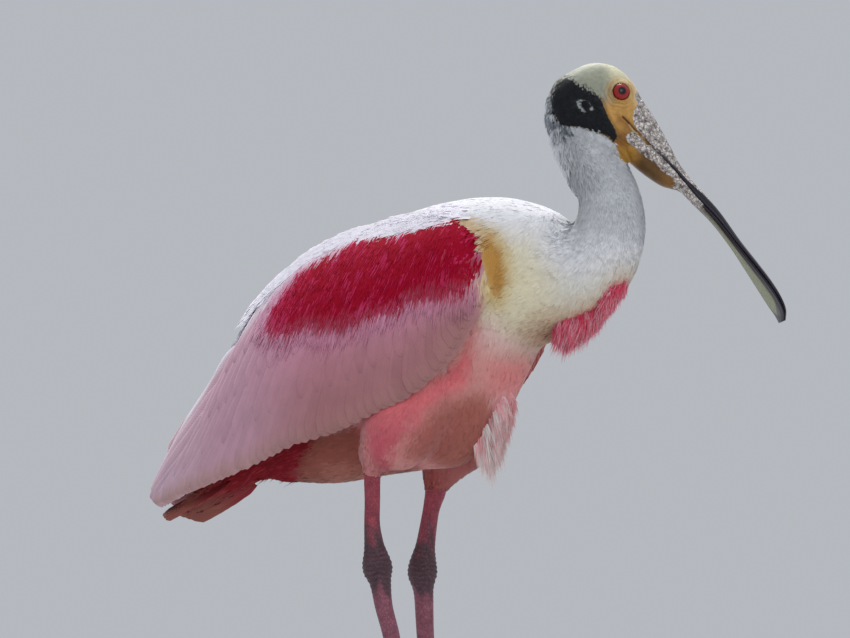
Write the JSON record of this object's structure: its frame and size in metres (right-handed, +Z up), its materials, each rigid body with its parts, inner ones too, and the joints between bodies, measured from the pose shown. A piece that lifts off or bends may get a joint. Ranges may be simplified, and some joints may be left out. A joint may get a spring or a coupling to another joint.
{
  "type": "roseate spoonbill",
  "caption": "Life-size wading bird standing still, with a long S-shaped neck, a flat spoon-ended bill, folded pink wings and thin legs.",
  "frame": {"origin": "on the floor, under the middle of the bounding box", "axes": "+Z up, +X the way the body faces, +Y to the bird's left"},
  "size_m": [0.4596, 0.1852, 0.4655],
  "materials": {
    "body_feathers": "soft overlapping body feathers, white on the back running to pale pink below",
    "neck_feathers": "short fine feathers, white, with a rose tuft at the foot of the neck",
    "bare_skin": "bare wrinkled skin, greenish yellow crown, orange cheek and a black band at the back",
    "eye": "wet glossy red iris with a black pupil",
    "ear_skin": "pale grey bare skin",
    "bill_horn": "mottled grey horn at the root running to dark purple brown, rough at the root and smoother at the tip",
    "wing_feathers": "broad flight feathers, pale pink with a crimson shoulder patch",
    "tail_feathers": "crimson and brownish red tail feathers",
    "claw_horn": "dark smooth claws",
    "leg_skin": "scaly crimson skin with dark grey brown ankles"
  },
  "bodies": {
    "root": {"bill_lower": "bill_horn", "bill_upper": "bill_horn", "claw_left_hind": "claw_horn", "claw_left_inner": "claw_horn", "claw_left_middle": "claw_horn", "claw_left_outer": "claw_horn", "claw_right_hind": "claw_horn", "claw_right_inner": "claw_horn", "claw_right_middle": "claw_horn", "claw_right_outer": "claw_horn", "ear_left": "ear_skin", "ear_right": "ear_skin", "eye_left": "eye", "eye_right": "eye", "foot_left": "leg_skin", "foot_right": "leg_skin", "head": "bare_skin", "neck_lower": "neck_feathers", "neck_upper": "neck_feathers", "shank_left": "leg_skin", "shank_right": "leg_skin", "tail": "tail_feathers", "tarsus_left": "leg_skin", "tarsus_right": "leg_skin", "thigh_left": "body_feathers", "thigh_right": "body_feathers", "torso": "body_feathers", "wing_left": "wing_feathers", "wing_right": "wing_feathers"}
  },
  "joints": []
}
